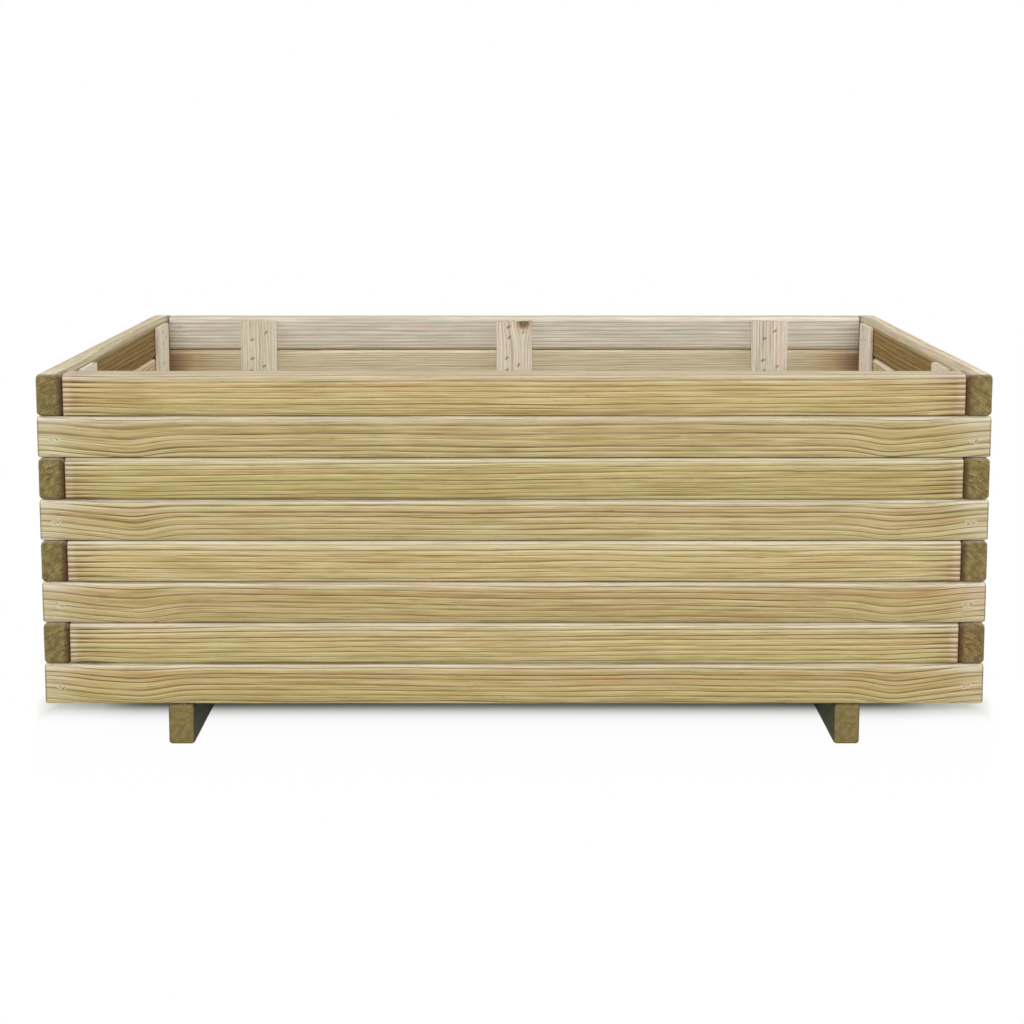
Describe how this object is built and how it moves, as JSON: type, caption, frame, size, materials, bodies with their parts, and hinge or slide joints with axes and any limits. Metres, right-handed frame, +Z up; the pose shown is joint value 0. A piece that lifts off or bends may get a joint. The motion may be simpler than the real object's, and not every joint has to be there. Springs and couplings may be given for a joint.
{
  "type": "raised garden bed",
  "caption": "Rectangular raised planter of stacked timber boards with interlocked corners, inner battens and a slatted floor, standing on two bearers",
  "frame": {"origin": "on the ground, under the middle of the trough", "axes": "+X along the length, to the right as seen from the front; the front wall faces -Y; +Z up"},
  "size_m": [1, 0.5, 0.4],
  "materials": {
    "board": "planed pressure-treated pine, matt",
    "batten": "sawn thin pine batten, matt",
    "foot": "planed pressure-treated pine, matt",
    "floor": "sawn pressure-treated pine, matt",
    "fastener": "zinc plated"
  },
  "bodies": {
    "root": {"front_board_1": "board", "back_board_1": "board", "left_board_1": "board", "right_board_1": "board", "front_board_2": "board", "back_board_2": "board", "left_board_2": "board", "right_board_2": "board", "front_board_3": "board", "back_board_3": "board", "left_board_3": "board", "right_board_3": "board", "front_board_4": "board", "back_board_4": "board", "left_board_4": "board", "right_board_4": "board", "front_board_5": "board", "back_board_5": "board", "left_board_5": "board", "right_board_5": "board", "front_board_6": "board", "back_board_6": "board", "left_board_6": "board", "right_board_6": "board", "front_board_7": "board", "back_board_7": "board", "left_board_7": "board", "right_board_7": "board", "front_board_8": "board", "back_board_8": "board", "left_board_8": "board", "right_board_8": "board", "front_batten_left": "batten", "front_batten_middle": "batten", "front_batten_right": "batten", "back_batten_left": "batten", "back_batten_middle": "batten", "back_batten_right": "batten", "left_batten_front": "batten", "left_batten_back": "batten", "right_batten_front": "batten", "right_batten_back": "batten", "foot_left": "foot", "foot_right": "foot", "floor_slat_1": "floor", "floor_slat_2": "floor", "floor_slat_3": "floor", "floor_slat_4": "floor", "floor_slat_5": "floor", "foot_screw_left_front": "fastener", "foot_screw_left_back": "fastener", "foot_screw_right_front": "fastener", "foot_screw_right_back": "fastener"}
  },
  "joints": []
}
